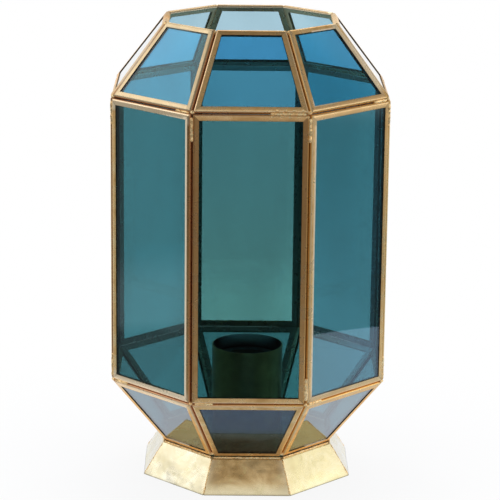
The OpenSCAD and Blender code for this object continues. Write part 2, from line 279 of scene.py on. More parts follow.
def soft_box(name, place, width, height, radiance):
    """A lamp with an even white face that looks at the middle of the lantern."""
    box = bpy.data.lights.new(name, "AREA")
    box.shape = "RECTANGLE"
    box.size, box.size_y = width, height
    box.energy = radiance * math.pi * width * height
    lamp = bpy.data.objects.new(name, box)
    lamp.location = place
    lamp.rotation_mode = "QUATERNION"
    lamp.rotation_quaternion = (lantern_middle - Vector(place)).to_track_quat("-Z", "Y")
    lamp.visible_camera = False
    bpy.context.scene.collection.objects.link(lamp)


soft_box("soft_box_left", (-1.15, 0.12, 0.86), 0.9, 0.8, 0.94)
soft_box("soft_box_right", (1.30, 0.14, 0.56), 0.9, 0.75, 1.05)
soft_box("soft_box_above", (0.0, 1.1, 1.6), 1.3, 1.0, 2.4)


# ------------------------------------------------------------------------------- Flared foot
# Eight pieces of 0.8 mm sheet brass, cut to a trapezoid, leaned against each other and soldered
# down their corners. The sheet is lacquered, clouded from the heat and not quite flat.
turn = math.radians(45)
apothem_per_side = 1 / (2 * math.tan(turn / 2))
radius_per_side = 1 / (2 * math.sin(turn / 2))
joint_gap = 0.00005
foot_side, floor_side, foot_h, floor_t, sheet_t = 0.0505, 0.0405, 0.0195, 0.001, 0.0008
lead_face, lead_hole_r, drill_len = 4, 0.005, 0.006
crease, bevelled_crease = math.radians(38), math.radians(50)
SKIRT = (foot_side, floor_side, 0.0, foot_h)


def tier_run(tier):
    return (tier[0] - tier[1]) * apothem_per_side


def tier_slant(tier):
    return math.hypot(tier_run(tier), tier[3])


def tier_tilt(tier):
    return math.atan2(tier_run(tier), tier[3])


def side_fold(tier):
    """Angle between two neighbouring faces of a tier."""
    lean = tier_tilt(tier)
    return math.acos(math.cos(lean) ** 2 * math.cos(turn) + math.sin(lean) ** 2)


def set_back(fold, thick):
    return thick * math.tan(fold / 2) + joint_gap


def face_place(tier, k):
    """The place of face k of a tier: x along the face, y up its slope, z outward."""
    return (
        Matrix.Rotation(turn * k, 4, "Z")
        @ Matrix.Translation((0, -tier[0] * apothem_per_side, tier[2]))
        @ Matrix.Rotation(math.pi / 2 - tier_tilt(tier), 4, "X")
    )


def new_tree(name, inputs, takes_mesh=False):
    """A Geometry Nodes tree with named inputs, as (tree, its inputs by name, its output node)."""
    tree = bpy.data.node_groups.new(name, "GeometryNodeTree")
    kinds = {bool: "NodeSocketBool", int: "NodeSocketInt", float: "NodeSocketFloat",
             tuple: "NodeSocketVector", type(None): "NodeSocketMaterial"}
    if takes_mesh:
        tree.interface.new_socket("Geometry", in_out="INPUT", socket_type="NodeSocketGeometry")
    for label, value in inputs.items():
        socket = tree.interface.new_socket(label, in_out="INPUT", socket_type=kinds[type(value)])
        if value is not None:
            socket.default_value = value
    start = wire(tree, "NodeGroupInput")
    return tree, {s.name: Flow(tree, s) for s in start.outputs if s.name}, wire(tree, "NodeGroupOutput")


def finish_tree(tree, end, geometry, material):
    """Ends a tree as the export needs it: shaded, real geometry, with its material."""
    tree.interface.new_socket("Geometry", in_out="OUTPUT", socket_type="NodeSocketGeometry")
    shaded = wire(tree, "GeometryNodeSetShadeSmooth", {"Geometry": geometry, "Shade Smooth": True})
    real = wire(tree, "GeometryNodeRealizeInstances", {"Geometry": shaded})
    dressed = wire(tree, "GeometryNodeSetMaterial", {"Geometry": real, "Material": material})
    tree.links.new(dressed.outputs[0], end.inputs[0])


def plain(piece):
    """Turns a piece and its modifiers into one plain mesh."""
    bpy.context.view_layer.update()
    made = bpy.data.meshes.new_from_object(piece.evaluated_get(bpy.context.evaluated_depsgraph_get()))
    piece.modifiers.clear()
    piece.data = made


def grow(name, tree, sizes, base=None, wall=0.0, wall_side=0.0, edge=0.0):
    """A piece that a tree makes with these sizes, as a plain mesh. A wall gives a sheet its thickness, and
    an edge bevels its raw edges."""
    piece = add_piece(name, base or bpy.data.meshes.new(name))
    maker = piece.modifiers.new("tree", "NODES")
    maker.node_group = tree
    for item in tree.interface.items_tree:
        if item.in_out == "INPUT" and item.name in sizes:
            maker[item.identifier] = sizes[item.name]
    if wall:
        sheet = piece.modifiers.new("wall", "SOLIDIFY")
        sheet.thickness, sheet.offset, sheet.use_even_offset = wall, wall_side, True
    if edge:
        rim = piece.modifiers.new("edge", "BEVEL")
        rim.width, rim.segments, rim.limit_method = edge, 1, "ANGLE"
        rim.angle_limit = bevelled_crease
    plain(piece)
    piece.data.name = name
    piece.data.set_sharp_from_angle(angle=crease)
    return piece


def carry(tree, shape, marks):
    """The shape, with these numbers on its points."""
    for label, value in marks.items():
        shape = wire(tree, "GeometryNodeStoreNamedAttribute", {
            "Geometry": shape, "Name": label, "Value": value})
    return shape


def face_noise(tree, vector, seed, scale, detail=1.0):
    """Two numbers from -0.5 to 0.5 that wander over a surface."""
    noise = wire(tree, "ShaderNodeTexNoise", {"Vector": vector, "W": seed, "Scale": scale, "Detail": detail},
                 noise_dimensions="4D")
    first, second, _ = parts_of(tree, noise.outputs["Color"])
    return first - 0.5, second - 0.5


def vector(tree, *parts):
    return wire(tree, "ShaderNodeCombineXYZ", dict(enumerate(parts)))


# A beaten sheet: a trapezoid that is pinned at its corners and a little uneven between them
sheet_tree, size, end = new_tree("beaten sheet", {
    "Lower side": foot_side, "Upper side": floor_side, "Slant": 0.023, "Set-back": 0.0003,
    "Dent": 0.0004, "Bow": 0.0002, "Steps across": 50, "Steps up": 36,
    "Painted side light": 0.0, "Seed": 0.0, "Brass": None})
grid = wire(sheet_tree, "GeometryNodeMeshGrid", {
    "Size X": 2.0, "Size Y": 1.0, "Vertices X": size["Steps across"], "Vertices Y": size["Steps up"]})
across, raised, _ = parts_of(sheet_tree, wire(sheet_tree, "GeometryNodeInputPosition"))
up = raised + 0.5
lean = (size["Lower side"] - size["Upper side"]) / 2 / size["Slant"]
half = size["Lower side"] / 2 - lean * up * size["Slant"] - size["Set-back"] * (lean * lean + 1).math("SQRT")
# Each point carries its nearness to the seams and to the hem, where the contact shadow is painted, and its
# height, by which the reflection of the table is painted; each sheet carries its share of painted side
# highlight
carried = carry(sheet_tree, grid, {
    "near_seam": abs(across) ** 8, "near_hem": up.ranged(0.0, 0.035, 1.0, 0.0),
    "up_share": up, "painted_side_light": size["Painted side light"]})
flat = vector(sheet_tree, across * half, up * size["Slant"])
dent, _ = face_noise(sheet_tree, flat, size["Seed"], 70.0, 2.0)
pinned = 1 - abs(across) ** 6
bowed = up * (1 - up) * size["Bow"] * 4
beaten = vector(sheet_tree, across * half, up * size["Slant"], dent * pinned * size["Dent"] * 2 + bowed)
placed = wire(sheet_tree, "GeometryNodeSetPosition", {"Geometry": carried, "Position": beaten})
finish_tree(sheet_tree, end, placed, size["Brass"])


def cloud(tree, scale, detail=4.0, roughness=0.55, stretch=(1, 1, 1), distortion=0.0):
    """Noise on the piece's own coordinates."""
    place = wire(tree, "ShaderNodeTexCoord").outputs["Object"]
    pulled = wire(tree, "ShaderNodeMapping", {"Vector": place, "Scale": stretch})
    return wire(tree, "ShaderNodeTexNoise", {
        "Vector": pulled, "Scale": scale, "Detail": detail, "Roughness": roughness,
        "Distortion": distortion}).outputs["Fac"]


def mark(tree, name):
    """A number that the piece's mesh carries."""
    return Flow(tree, wire(tree, "ShaderNodeAttribute", attribute_name=name).outputs["Fac"])


def relief(tree, height, strength, distance):
    return wire(tree, "ShaderNodeBump", {"Height": height, "Strength": strength, "Distance": distance})


def sheet_brass():
    """Lacquered brass, stained in spots and pale along the soldered seams. Its colour also holds painted
    light: brown at the top and lighter toward the hem, with a pale band at the hem, as a painted reflection
    of the table; a painted highlight on the sheets that face the soft boxes; and a painted contact shadow
    along the hem where it stands on the table."""
    material, tree = new_material("clouded_sheet_brass")
    broad = cloud(tree, 55.0, 5.0, 0.62, distortion=0.6)
    up_share, painted_side_light = mark(tree, "up_share"), mark(tree, "painted_side_light")
    # Painted reflection of the table: the sheet is brown at the top and grows lighter toward the hem, with a
    # pale band at the hem
    upper = ramp(tree, broad, (0.32, 0.34, 0.185, 0.055), (0.50, 0.50, 0.30, 0.10), (0.68, 0.68, 0.46, 0.20))
    lower = ramp(tree, broad, (0.32, 0.55, 0.37, 0.15), (0.50, 0.80, 0.57, 0.26), (0.68, 0.96, 0.80, 0.46))
    brown = blend(tree, up_share.ranged(0.12, 0.48, 0.0, 1.0), lower, upper)
    painted_hem_reflection = blend(tree, up_share.ranged(0.10, 0.32, 1.0, 0.0), brown, (1.0, 0.86, 0.54))
    # Painted highlight: the sheets that face the soft boxes to the sides are painted pale, by each sheet's
    # share
    painted_side_highlight = ramp(tree, broad, (0.26, 0.88, 0.78, 0.48), (0.46, 0.94, 0.86, 0.60), (0.68, 0.97, 0.92, 0.74))
    yellow = ramp(tree, broad, (0.26, 0.90, 0.76, 0.38), (0.46, 0.97, 0.87, 0.48), (0.68, 1.0, 0.93, 0.62))
    pale = blend(tree, painted_side_light.ranged(0.83, 0.93, 0.0, 1.0), yellow, painted_side_highlight)
    stain = Flow(tree, cloud(tree, 130.0, 4.0, 0.6)).ranged(0.56, 0.72, 0.0, 0.5)
    stained = blend(tree, stain, blend(tree, painted_side_light, painted_hem_reflection, pale), (0.70, 0.60, 0.26))
    seamed = blend(tree, mark(tree, "near_seam") * 0.6, stained, (0.92, 0.78, 0.50))
    # Painted contact shadow: the hem is darkened where the sheet stands on the table
    toned = blend(tree, mark(tree, "near_hem") * 0.9, seamed, (0.08, 0.07, 0.035))
    scratches = cloud(tree, 900.0, 2.0, 0.5, (0.15, 0.15, 1.0))
    return surfaced(material, {
        "Base Color": toned, "Metallic": 0.82, "Roughness": Flow(tree, broad).ranged(0.3, 0.7, 0.34, 0.20),
        "Coat Weight": 0.35, "Coat Roughness": 0.12, "Normal": relief(tree, scratches, 0.12, 0.0002)})


sheet_finish = sheet_brass()
# Each sheet's share of painted highlight: most on the sheets that face the soft boxes to the sides
painted_side_light_of_sheet = (0.05, 0.83, 0.90, 0.7, 0.3, 0.7, 0.90, 0.95)
for k in range(8):
    sheet = grow(f"foot_sheet_{k + 1}", sheet_tree, {
        "Lower side": foot_side, "Upper side": floor_side, "Slant": tier_slant(SKIRT),
        "Set-back": set_back(side_fold(SKIRT), sheet_t), "Painted side light": painted_side_light_of_sheet[k], "Seed": 3.7 * k + 1.3,
        "Brass": sheet_finish}, wall=sheet_t, wall_side=-1.0)
    if k == lead_face:
        drill_mesh = bpy.data.meshes.new("drill")
        drill_shape = bmesh.new()
        bmesh.ops.create_cone(
            drill_shape, cap_ends=True, segments=48, radius1=lead_hole_r, radius2=lead_hole_r,
            depth=drill_len, matrix=Matrix.Translation((0, tier_slant(SKIRT) / 2, 0)))
        drill_shape.to_mesh(drill_mesh)
        drill_shape.free()
        drill = add_piece("drill", drill_mesh)
        hole = sheet.modifiers.new("hole", "BOOLEAN")
        hole.object, hole.operation, hole.solver = drill, "DIFFERENCE", "EXACT"
        plain(sheet)
        bpy.data.objects.remove(drill)
    sheet.data.transform(face_place(SKIRT, k))
    # The hem is filed flat to stand on the table, and the top to lie under the floor plate
    for vertex in sheet.data.vertices:
        vertex.co.z = min(max(vertex.co.z, 0.0), foot_h - floor_t)
    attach(sheet, "lamp")
    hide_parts("base_skirt")


# ----------------------------------------------------------------------------- Lead's grommet
# A bush of black rubber, moulded in one piece and pressed into the hole of the rear sheet, so that the
# mains lead doesn't chafe on the brass where it leaves the foot.
def rubber():
    material, tree = new_material("black_rubber")
    colour = ramp(tree, cloud(tree, 700.0, 3.0), (0.3, 0.012, 0.012, 0.013), (0.7, 0.035, 0.034, 0.033))
    return surfaced(material, {
        "Base Color": colour, "Roughness": 0.62,
        "Normal": relief(tree, cloud(tree, 2200.0, 2.0), 0.25, 0.0001)})


def dress(node, material):
    """Gives a CAD node's object its material."""
    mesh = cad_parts[node].data
    mesh.materials.clear()
    mesh.materials.append(material)


dress("cable_grommet", rubber())


# ---------------------------------------------------------------------- Floor plate and fixings
# The eight-sided floor is a brass plate. A hollow threaded nipple, with a washer and a nut of
# zinc-plated steel under the floor, ties the lamp holder and its sleeve to it.
def gloss(tree, scale, shiny, dull):
    """A roughness that wanders between two values."""
    return Flow(tree, cloud(tree, scale)).ranged(0.3, 0.7, shiny, dull)


def plate_brass():
    material, tree = new_material("dull_plate_brass")
    colour = ramp(tree, cloud(tree, 90.0, 5.0, 0.6), (0.3, 0.24, 0.17, 0.08), (0.55, 0.38, 0.28, 0.15),
                  (0.75, 0.52, 0.41, 0.24))
    return surfaced(material, {
        "Base Color": colour, "Metallic": 1.0, "Roughness": gloss(tree, 160.0, 0.3, 0.5),
        "Normal": relief(tree, cloud(tree, 500.0), 0.1, 0.0002)})


def zinc_plate():
    material, tree = new_material("zinc_plated_steel")
    colour = ramp(tree, cloud(tree, 420.0, 4.0), (0.3, 0.42, 0.43, 0.42), (0.7, 0.66, 0.67, 0.64))
    return surfaced(material, {
        "Base Color": colour, "Metallic": 1.0, "Roughness": gloss(tree, 900.0, 0.22, 0.42)})


def sampled(tree, curve, value, at_index, kind):
    """What a curve's point holds, at an index."""
    return wire(tree, "GeometryNodeSampleIndex", {"Geometry": curve, "Value": value, "Index": at_index},
                data_type=kind, domain="POINT")


def rows_of(tree, profile, rows):
    """A grid whose rows each follow a profile, as (grid, a point's row, its step in the row, the three
    numbers of its place on the profile)."""
    counted = wire(tree, "GeometryNodeAttributeDomainSize", {0: profile}, component="CURVE")
    count = Flow(tree, counted.outputs["Point Count"])
    grid = wire(tree, "GeometryNodeMeshGrid", {
        "Size X": 1.0, "Size Y": 1.0, "Vertices X": rows, "Vertices Y": count})
    index = Flow(tree, wire(tree, "GeometryNodeInputIndex"))
    row = ((index + 0.5) / count).math("FLOOR")
    step = index - row * count
    place = sampled(tree, profile, wire(tree, "GeometryNodeInputPosition"), step, "FLOAT_VECTOR")
    return grid, row, step, parts_of(tree, place)


# A turned piece: the profile that the mesh holds, in x and z, is spun about the z axis. Points with a
# thread follow a screw line.
turned_tree, size, end = new_tree("turned piece", {
    "Steps round": 64, "Pitch": 0.001, "Thread depth": 0.0003, "Metal": None}, takes_mesh=True)
profile = wire(turned_tree, "GeometryNodeMeshToCurve", {0: size["Geometry"]})
grid, ring, step, (from_axis, _, rise) = rows_of(turned_tree, profile, size["Steps round"] + 1)
thread = wire(turned_tree, "GeometryNodeInputNamedAttribute", {"Name": "thread"}, data_type="FLOAT")
threaded = Flow(turned_tree, sampled(turned_tree, profile, thread, step, "FLOAT"))
angle = ring / size["Steps round"] * math.tau
wave = ((rise / size["Pitch"]) * math.tau - angle).math("COSINE")
radius = from_axis + wave * threaded * size["Thread depth"] / 2
spun = vector(turned_tree, radius * angle.math("COSINE"), radius * angle.math("SINE"), rise)
placed = wire(turned_tree, "GeometryNodeSetPosition", {"Geometry": grid, "Position": spun})
closed = wire(turned_tree, "GeometryNodeMergeByDistance", {"Geometry": placed, "Distance": 0.000004})
finish_tree(turned_tree, end, closed, size["Metal"])


def profile_mesh(name, corners, closed_loop=True, thread_step=0.00012):
    """A profile through corners of (x, z, threaded to the next corner), as a wire mesh in metres. A
    thread fades in and out over an eighth of its length."""
    points, marks = [], []
    followers = corners[1:] + corners[:1] if closed_loop else corners[1:]
    for (x0, z0, is_thread), (x1, z1, _) in zip(corners, followers):
        parts = max(1, round(math.hypot(x1 - x0, z1 - z0) / thread_step)) if is_thread else 1
        for i in range(parts):
            share = i / parts
            points.append((x0 + (x1 - x0) * share, 0.0, z0 + (z1 - z0) * share))
            marks.append(min(1.0, 8 * share, 8 * (1 - share)) if is_thread else 0.0)
    points.append(points[0] if closed_loop else (corners[-1][0], 0.0, corners[-1][1]))
    marks.append(marks[0] if closed_loop else 0.0)
    mesh = bpy.data.meshes.new(name)
    mesh.from_pydata(points, [(i, i + 1) for i in range(len(points) - 1)], [])
    mesh.attributes.new("thread", "FLOAT", "POINT").data.foreach_set("value", marks)
    return mesh


def facing_out(piece):
    """Turns the faces of a closed mesh outward, after its doubles are merged."""
    shape = bmesh.new()
    shape.from_mesh(piece.data)
    bmesh.ops.remove_doubles(shape, verts=shape.verts, dist=1e-6)
    bmesh.ops.recalc_face_normals(shape, faces=shape.faces)
    shape.to_mesh(piece.data)
    shape.free()
    piece.data.set_sharp_from_angle(angle=crease)
    return piece


floor_top = foot_h
washer_t, nut_t, end_below = 0.001, 0.003, 0.002
sleeve_t, seat_h, room_above = 0.0008, 0.009, 0.0005
nipple_r, nipple_bore_r, thread_pitch, thread_depth, lead_in = 0.00495, 0.0033, 0.001, 0.0004, 0.0004
nipple_low = floor_top - floor_t - washer_t - nut_t - end_below
nipple_high = floor_top + sleeve_t + seat_h - room_above
pitch_r = nipple_r - thread_depth / 2
zinc = zinc_plate()
nipple = facing_out(grow("threaded_nipple", turned_tree, {
    "Steps round": 48, "Pitch": thread_pitch, "Thread depth": thread_depth, "Metal": zinc},
    profile_mesh("nipple_profile", [
        (nipple_bore_r, nipple_low, False), (nipple_r - lead_in, nipple_low, False),
        (pitch_r, nipple_low + lead_in, True), (pitch_r, nipple_high - lead_in, False),
        (nipple_r - lead_in, nipple_high, False), (nipple_bore_r, nipple_high, False)])))
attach(nipple, "lamp")
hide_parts("mounting_nipple")
dress("floor_plate", plate_brass())
dress("lock_washer", zinc)
dress("lock_nut", zinc)


# -------------------------------------------------------------------------------- Lamp holder
# A cup of spun steel, painted nearly black, hides the moulded holder. In the holder's well sits the
# brass shell with its rolled thread, held by two slotted screws, and the springy contact under a third.
sleeve_r, well_floor_h = 0.021, 0.021
holder_low = floor_top + sleeve_t
well_low = holder_low + well_floor_h
cap_r, shell_t, shell_foot_h, shell_h, shell_hole_r = 0.0133, 0.0004, 0.0036, 0.018, 0.0075
shell_pitch, rolled, shell_step = 0.00362, 0.00035, 0.0008
shell_foot_r = cap_r - shell_step


def dark_paint():
    """Paint that is brown outside, made black inside the cup as painted shade, but for a painted pale sheen
    on the far wall near the rim.
    """
    material, tree = new_material("dark_paint")
    place = wire(tree, "ShaderNodeTexCoord").outputs["Object"]
    _, rearward, rise = place_in(tree)
    level = wire(tree, "ShaderNodeVectorMath", {0: place, 1: (1, 1, 0)}, operation="MULTIPLY")
    is_inside = length_of(tree, level).ranged(sleeve_r - 0.0007, sleeve_r - 0.0003, 1.0, 0.0)
    # Painted highlight: a pale, unmetallic sheen on the far inner wall near the rim
    painted_sheen = rise.ranged(0.0665, 0.0735, 0.0, 1.0) * is_inside * rearward.ranged(0.009, 0.020, 0.0, 1.0)
    outside = ramp(tree, cloud(tree, 140.0, 4.0), (0.35, 0.42, 0.22, 0.080), (0.7, 0.60, 0.32, 0.120))
    # Painted shade: the inside of the cup is painted black
    colour = blend(tree, is_inside, outside, (0.004, 0.004, 0.004))
    return surfaced(material, {
        "Base Color": blend(tree, painted_sheen, colour, (1.0, 0.88, 0.90)), "Metallic": 1 - painted_sheen,
        "Roughness": gloss(tree, 300.0, 0.30, 0.42),
        "Normal": relief(tree, cloud(tree, 400.0, 1.0), 0.05, 0.0001)})


def moulding():
    material, tree = new_material("black_moulding")
    colour = ramp(tree, cloud(tree, 260.0, 3.0), (0.3, 0.010, 0.010, 0.010), (0.7, 0.024, 0.023, 0.021))
    return surfaced(material, {
        "Base Color": colour, "Roughness": 0.45,
        "Normal": relief(tree, cloud(tree, 1800.0, 2.0), 0.15, 0.0001)})


def contact_brass():
    material, tree = new_material("contact_brass")
    colour = ramp(tree, cloud(tree, 300.0, 4.0), (0.3, 0.66, 0.47, 0.20), (0.7, 0.86, 0.68, 0.36))
    return surfaced(material, {
        "Base Color": colour, "Metallic": 1.0, "Roughness": gloss(tree, 700.0, 0.18, 0.34)})


dress("holder_sleeve", dark_paint())
dress("lamp_holder", moulding())
bright_brass = contact_brass()
dress("centre_contact", bright_brass)

shell_r, shell_foot_top = cap_r - rolled / 2, well_low + shell_foot_h
shell_top = shell_foot_top + shell_h
shell = facing_out(grow("rolled_thread_shell", turned_tree, {
    "Steps round": 72, "Pitch": shell_pitch, "Thread depth": 2 * rolled, "Metal": bright_brass},
    profile_mesh("shell_profile", [
        (shell_hole_r, well_low, False), (shell_foot_r + shell_t, well_low, False),
        (shell_foot_r + shell_t, shell_foot_top - shell_t, False),
        (shell_r + shell_t, shell_foot_top - shell_t, True),
        (shell_r + shell_t, shell_top, False), (shell_r, shell_top, True),
        (shell_r, shell_foot_top, False), (shell_foot_r, shell_foot_top, False),
        (shell_foot_r, well_low + shell_t, False), (shell_hole_r, well_low + shell_t, False)],
        thread_step=0.0003)))
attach(shell, "lamp")
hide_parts("screw_shell")

# Three slotted pan-head screws: one turned screw with a slot across its head, set at three seats
screw_r, head_r, head_h, bite = 0.0015, 0.0025, 0.0014, 0.006
slot_len, slot_w, slot_deep, screw_pitch, screw_thread = 0.008, 0.0007, 0.0007, 0.0005, 0.0003
strip_t, strip_play, strip_screw_x = 0.0005, 0.0004, -0.0046
twists = {"First seat": 0.4, "Second seat": 1.9, "Third seat": 2.6}
screws_tree, size, end = new_tree("three slotted screws", {
    **dict.fromkeys(twists, (0.0, 0.0, 0.0)),
    "Slot width": slot_w, "Slot depth": slot_deep, "Head height": head_h, "Metal": None}, takes_mesh=True)
one_screw = wire(screws_tree, "GeometryNodeGroup", {
    "Geometry": size["Geometry"], "Steps round": 32, "Pitch": screw_pitch, "Thread depth": screw_thread,
    "Metal": size["Metal"]}, node_tree=turned_tree)
slot_size = vector(screws_tree, slot_len, size["Slot width"], size["Slot depth"] * 2)
slot_cut = wire(screws_tree, "GeometryNodeMeshCube", {"Size": slot_size})
slot_moved = wire(screws_tree, "GeometryNodeTransform", {
    "Geometry": slot_cut, "Translation": vector(screws_tree, 0.0, 0.0, size["Head height"])})
slotted = wire(screws_tree, "GeometryNodeMeshBoolean", {0: one_screw, 1: slot_moved},
               operation="DIFFERENCE", solver="EXACT")
seated = wire(screws_tree, "GeometryNodeJoinGeometry")
for label, twist in twists.items():
    stand = wire(screws_tree, "GeometryNodeTransform", {
        "Geometry": slotted, "Translation": size[label], "Rotation": (0, 0, twist)})
    screws_tree.links.new(stand.outputs[0], seated.inputs[0])
finish_tree(screws_tree, end, seated, size["Metal"])

thread_r, screw_point = screw_r - screw_thread / 2, 0.0004
screw_out, shell_floor = (shell_hole_r + shell_foot_r) / 2, well_low + shell_t
screws = facing_out(grow("slotted_screws", screws_tree, {
    "First seat": (0, -screw_out, shell_floor), "Second seat": (0, screw_out, shell_floor),
    "Third seat": (strip_screw_x, 0, well_low + strip_t + 2 * strip_play), "Metal": zinc},
    profile_mesh("screw_profile", [
        (0.0, -bite, False), (screw_r - screw_point, -bite, False), (thread_r, -bite + screw_point, True),
        (thread_r, -screw_point, False), (screw_r, 0.0, False), (head_r, 0.0, False),
        (head_r, head_h - 0.0005, False), (head_r - 0.0002, head_h - 0.0002, False),
        (head_r - 0.0006, head_h, False), (0.0, head_h, False)], closed_loop=False)))
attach(screws, "lamp")
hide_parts("terminal_screws")


# ------------------------------------------------------------------------------------- Glass
# Twenty-four panes of tinted sheet glass, 2 mm thick, blue in the roof and sea green below. The sheets are a
# little uneven. Their tint is set pane by pane as painted light: deepest in front, paler at the back and
# sides, paler toward the back of the roof and bluer toward the top of the front panes. The shinier sheets
# carry a clear coat, which mirrors the room more strongly.
def scaled(tree, vector, scale):
    return wire(tree, "ShaderNodeVectorMath", {0: vector, "Scale": scale}, operation="SCALE")


def tinted_glass(name, axis, low, high, tint_low, tint_high, coat):
    """Glass whose tint goes from one colour to another as its place along an axis goes from low to high."""
    material, tree = new_material(name)
    place = dict(zip("XYZ", place_in(tree)))
    stock = blend(tree, place[axis].ranged(low, high, 0.0, 1.0), tint_low, tint_high)
    streaks = Flow(tree, cloud(tree, 26.0, 2.0, 0.5, (1.0, 1.0, 0.25))).ranged(0.35, 0.65, 0.945, 1.06)
    tint = scaled(tree, stock, streaks)
    glass = wire(tree, "ShaderNodeBsdfPrincipled", {
        "Base Color": tint, "Roughness": 0.0, "IOR": 1.5, "Transmission Weight": 1.0, "Coat Weight": coat,
        "Coat Roughness": 0.0, "Normal": relief(tree, cloud(tree, 30.0, 0.0), 0.03, 0.001)})
    clear = wire(tree, "ShaderNodeBsdfTransparent", {"Color": tint})
    rays = wire(tree, "ShaderNodeLightPath")
    return surfaced(material, {0: rays.outputs["Is Shadow Ray"], 1: glass, 2: clear}, "ShaderNodeMixShader")


# Each pane's tint, and the way it changes along an axis, is painted light that stands in for how the light
# falls on that pane
over_roof, over_body, pale_blue = ("Y", -0.045, 0.045), ("Z", 0.08, 0.19), (0.41, 0.615, 0.72)
front_zone, rear_zone, taper_zone, taper_front_zone = (
    ("Z", 0.116, 0.213), ("Z", 0.078, 0.108), ("Z", 0.02, 0.06), ("Z", 0.036, 0.056))
glass_stock = {
    "roof": ("blue_glass", *over_roof, (0.125, 0.44, 0.69), pale_blue, 0.0),
    "roof side": ("blue_side_glass", *over_roof, (0.125, 0.44, 0.69), pale_blue, 1.0),
    "roof left": ("left_blue_glass", *over_roof, (0.155, 0.60, 0.85), pale_blue, 0.0),
    "roof right": ("right_blue_glass", *over_roof, (0.098, 0.48, 0.73), pale_blue, 0.0),
    "body": ("sea_green_glass", *over_body, (0.195, 0.435, 0.47), (0.19, 0.42, 0.46), 0.5),
    "body front": ("deep_sea_green_glass", *front_zone, (0.16, 0.39, 0.395), (0.129, 0.355, 0.42), 0.5),
    "body right": ("right_sea_green_glass", *over_body, (0.29, 0.50, 0.58), (0.195, 0.43, 0.50), 1.0),
    "body rear": ("pale_sea_green_glass", *rear_zone, (0.52, 0.69, 0.665), (0.42, 0.54, 0.52), 0.5),
    "taper": ("lower_sea_green_glass", *taper_zone, (0.18, 0.35, 0.39), (0.18, 0.35, 0.385), 1.0),
    "taper front": ("lower_front_glass", *taper_front_zone, (0.108, 0.27, 0.385), (0.25, 0.44, 0.82), 0.5),
}
glass_finish = {kind: tinted_glass(*stock) for kind, stock in glass_stock.items()}
glass_of_pane = {
    ("roof", 1): "roof right", ("roof", 2): "roof side", ("roof", 6): "roof side", ("roof", 7): "roof left",
    ("body", 0): "body front", ("body", 1): "body right", ("body", 4): "body rear",
    ("taper", 0): "taper front"}
for tier in ("roof", "body", "taper"):
    for k in range(8):
        dress(f"{tier}_pane_{k + 1}", glass_finish[glass_of_pane.get((tier, k), tier)])


# --------------------------------------------------------------------------- Folded channels
# Each pane is edged with its own channel: a strip of sheet brass, folded into a U round the edge of the glass
# and mitred at the corners. Its colour is clouded gold with painted light and shade on it: brown painted
# shade on some flanges and painted highlights on others, brown patina down in the grooves with painted shade
# deeper in, and a dull patina inside the lantern that is painted lighter toward the top and the right.
body_side, rim_side, taper_h, body_h, roof_h = 0.066, 0.0405, 0.0415, 0.168, 0.0415
channel_w, channel_t, channel_wall, front_bend_r, back_bend_r = 0.0034, 0.0030, 0.00045, 0.0013, 0.0006
shoulder_h, raw_edge, mitre = foot_h + taper_h, 0.00006, 0.004
eaves_h = shoulder_h + body_h
TIERS = {
    "taper": (floor_side, body_side, foot_h, taper_h),
    "body": (body_side, body_side, shoulder_h, body_h),
    "roof": (body_side, rim_side, eaves_h, roof_h),
}
level_fold = tier_tilt(TIERS["roof"])


def bent_set_back(fold):
    """How far a channel stays from an edge so that its rear bend just clears its neighbour's."""
    return ((channel_t - back_bend_r) * math.tan(fold / 2) + (back_bend_r + joint_gap) / math.cos(fold / 2)
            - back_bend_r)


outline = {
    "Lower side": body_side, "Upper side": body_side, "Slant": body_h,
    "Set-back low": 0.0, "Set-back side": 0.0, "Set-back high": 0.0}
corner_tree, size, end = new_tree("corner of a face", {"Corner": 0.0, "Inset": 0.0, **outline})
corner = size["Corner"].math("MODULO", 4)
is_high = corner.math("GREATER_THAN", 1.5)
to_right = abs(corner - 1.5).math("LESS_THAN", 1) * 2 - 1
lean = (size["Lower side"] - size["Upper side"]) / 2 / size["Slant"]
low = size["Set-back low"] + size["Inset"]
high = size["Slant"] - size["Set-back high"] - size["Inset"]
up = low + (high - low) * is_high
spread = (lean * lean + 1).math("SQRT")
half = size["Lower side"] / 2 - lean * up - (size["Set-back side"] + size["Inset"]) * spread
corner_tree.interface.new_socket("Place", in_out="OUTPUT", socket_type="NodeSocketVector")
corner_tree.links.new(vector(corner_tree, half * to_right, up).outputs[0], end.inputs[0])

channel_tree, size, end = new_tree("folded channel", {
    **outline, "Flange width": channel_w, "Depth": channel_t, "Wall": channel_wall,
    "Front bend": front_bend_r, "Rear bend": back_bend_r, "Free top": 0.0, "Unevenness": 0.00016,
    "Tone left": 0.0, "Tone right": 0.0, "Tone top": 0.0, "Tone low": 0.0,
    "Steps": 20, "Seed": 0.0, "Brass": None})
middle = size["Wall"] / 2
strip = wire(channel_tree, "GeometryNodeCurvePrimitiveQuadrilateral", {
    "Point 1": vector(channel_tree, size["Flange width"], middle * -1),
    "Point 2": vector(channel_tree, middle, middle * -1),
    "Point 3": vector(channel_tree, middle, middle - size["Depth"]),
    "Point 4": vector(channel_tree, size["Flange width"], middle - size["Depth"])}, mode="POINTS")
opened = wire(channel_tree, "GeometryNodeSetSplineCyclic", {0: strip, "Cyclic": False})
at_front = Flow(channel_tree, wire(channel_tree, "GeometryNodeInputIndex")).math("LESS_THAN", 1.5)
bend_here = size["Rear bend"] + (size["Front bend"] - size["Rear bend"]) * at_front
folded = wire(channel_tree, "GeometryNodeFilletCurve", {
    0: opened, "Count": 5, "Radius": bend_here - middle, "Limit Radius": True}, mode="POLY")
grid, ring, _, (inset, depth, _) = rows_of(channel_tree, folded, size["Steps"] * 4 + 1)
side = ((ring + 0.25) / size["Steps"]).math("FLOOR")
